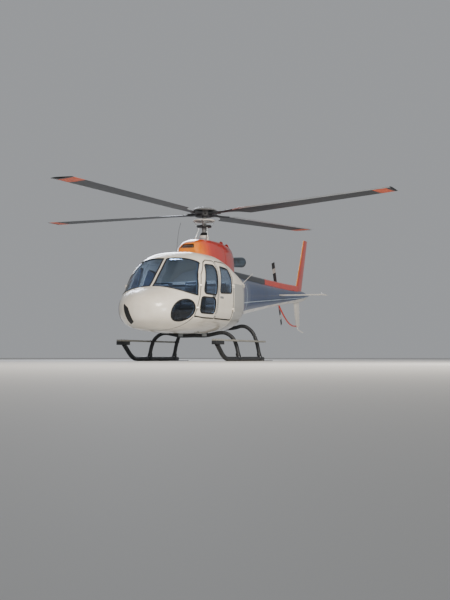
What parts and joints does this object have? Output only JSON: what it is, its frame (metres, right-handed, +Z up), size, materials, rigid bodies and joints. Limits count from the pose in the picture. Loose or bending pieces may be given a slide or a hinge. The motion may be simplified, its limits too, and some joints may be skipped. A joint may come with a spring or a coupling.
{
  "type": "light utility helicopter",
  "caption": "Light single-engine helicopter on skids, with a glazed cabin, hinged doors and cowls, and a main and a tail rotor that turn.",
  "frame": {"origin": "on the ground under the middle of the whole machine, blades included", "axes": "+Z up, -Y towards the nose, +X towards the helicopter's own left (port) side"},
  "size_m": [8.6536, 11.2268, 3.27],
  "materials": {
    "cream_shell": "gloss",
    "cream_metal": "gloss",
    "grey_metal": "gloss",
    "orange_shell": "gloss",
    "orange_metal": "gloss",
    "dark_shell": "satin",
    "blue_metal": "gloss",
    "tinted_window": "gloss",
    "blade_composite": "satin",
    "hub_metal": "satin",
    "bare_steel": "satin",
    "seat_cloth": "matt",
    "panel_black": "matt",
    "floor_grey": "matt",
    "black_tube": "satin",
    "step_grey": "satin"
  },
  "bodies": {
    "fuselage": {"belly_shell": "cream_shell", "cabin_floor": "floor_grey", "canopy_frame": "cream_shell", "chin_window_left": "tinted_window", "chin_window_right": "tinted_window", "crosstube_aft": "black_tube", "crosstube_front": "black_tube", "engine": "bare_steel", "exhaust_cowl": "orange_shell", "exhaust_pipe": "bare_steel", "front_seat_left": "seat_cloth", "front_seat_right": "seat_cloth", "gearbox": "bare_steel", "guard_tube": "orange_metal", "instrument_panel": "panel_black", "intake_cowl": "orange_shell", "lower_fin": "cream_metal", "nose_shell": "cream_shell", "rear_bench": "seat_cloth", "rear_fuselage": "grey_metal", "shaft_cover_front": "dark_shell", "shaft_cover_rear": "orange_shell", "skid_left": "black_tube", "skid_right": "black_tube", "stabiliser_left": "cream_metal", "stabiliser_right": "cream_metal", "step_left": "step_grey", "step_right": "step_grey", "tail_boom": "blue_metal", "tail_gearbox": "hub_metal", "upper_fin": "orange_metal", "windshield_left": "tinted_window", "windshield_right": "tinted_window"},
    "main_rotor": {"rotor_mast": "bare_steel", "rotor_hub": "hub_metal", "main_blade_1": "blade_composite", "main_blade_2": "blade_composite", "main_blade_3": "blade_composite", "main_blade_4": "blade_composite"},
    "tail_rotor": {"tail_rotor": "blade_composite"},
    "front_door_left": {"front_door_left": "cream_shell", "front_door_window_left": "tinted_window", "front_door_lower_window_left": "tinted_window"},
    "rear_door_left": {"rear_door_left": "cream_shell", "rear_door_window_left": "tinted_window"},
    "baggage_door_left": {"baggage_door_left": "grey_metal"},
    "gearbox_cowl_left": {"gearbox_cowl_left": "orange_shell"},
    "engine_cowl_left": {"engine_cowl_left": "orange_shell"},
    "front_door_right": {"front_door_right": "cream_shell", "front_door_window_right": "tinted_window", "front_door_lower_window_right": "tinted_window"},
    "rear_door_right": {"rear_door_right": "cream_shell", "rear_door_window_right": "tinted_window"},
    "baggage_door_right": {"baggage_door_right": "grey_metal"},
    "gearbox_cowl_right": {"gearbox_cowl_right": "orange_shell"},
    "engine_cowl_right": {"engine_cowl_right": "orange_shell"}
  },
  "joints": [
    {"name": "main_rotor_spin", "type": "hinge", "parent": "fuselage", "child": "main_rotor", "pos_m": [0, -1.3, 3.13], "axis": [0, 0, 1], "continuous": true},
    {"name": "tail_rotor_spin", "type": "hinge", "parent": "fuselage", "child": "tail_rotor", "pos_m": [-0.36, 4.14, 1.75], "axis": [1, 0, 0], "continuous": true},
    {"name": "front_door_left_hinge", "type": "hinge", "parent": "fuselage", "child": "front_door_left", "pos_m": [0.82891, -3.353, 1.03], "axis": [-0.0028, -0.3188, -0.9478], "range_deg": [0, 80]},
    {"name": "rear_door_left_hinge", "type": "hinge", "parent": "fuselage", "child": "rear_door_left", "pos_m": [0.91107, -1.835, 1.04], "axis": [0.0131, 0, 0.9999], "range_deg": [0, 85]},
    {"name": "baggage_door_left_hinge", "type": "hinge", "parent": "fuselage", "child": "baggage_door_left", "pos_m": [0.85658, -1.14, 1.595], "axis": [0.3702, -0.929, 0], "range_deg": [0, 80]},
    {"name": "gearbox_cowl_left_hinge", "type": "hinge", "parent": "fuselage", "child": "gearbox_cowl_left", "pos_m": [0.36031, -1.62, 2.10571], "axis": [-0.0032, 0.9717, -0.2364], "range_deg": [0, 70]},
    {"name": "engine_cowl_left_hinge", "type": "hinge", "parent": "fuselage", "child": "engine_cowl_left", "pos_m": [0.154, -0.74, 2.57491], "axis": [0, -0.9958, 0.0911], "range_deg": [0, 60]},
    {"name": "front_door_right_hinge", "type": "hinge", "parent": "fuselage", "child": "front_door_right", "pos_m": [-0.82891, -3.353, 1.03], "axis": [-0.0028, 0.3188, 0.9478], "range_deg": [0, 80]},
    {"name": "rear_door_right_hinge", "type": "hinge", "parent": "fuselage", "child": "rear_door_right", "pos_m": [-0.91107, -1.835, 1.04], "axis": [0.0131, 0, -0.9999], "range_deg": [0, 85]},
    {"name": "baggage_door_right_hinge", "type": "hinge", "parent": "fuselage", "child": "baggage_door_right", "pos_m": [-0.85658, -1.14, 1.595], "axis": [0.3702, 0.929, 0], "range_deg": [0, 80]},
    {"name": "gearbox_cowl_right_hinge", "type": "hinge", "parent": "fuselage", "child": "gearbox_cowl_right", "pos_m": [-0.36031, -1.62, 2.10571], "axis": [-0.0032, -0.9717, 0.2364], "range_deg": [0, 70]},
    {"name": "engine_cowl_right_hinge", "type": "hinge", "parent": "fuselage", "child": "engine_cowl_right", "pos_m": [-0.154, -0.74, 2.57491], "axis": [0, 0.9958, -0.0911], "range_deg": [0, 60]}
  ]
}
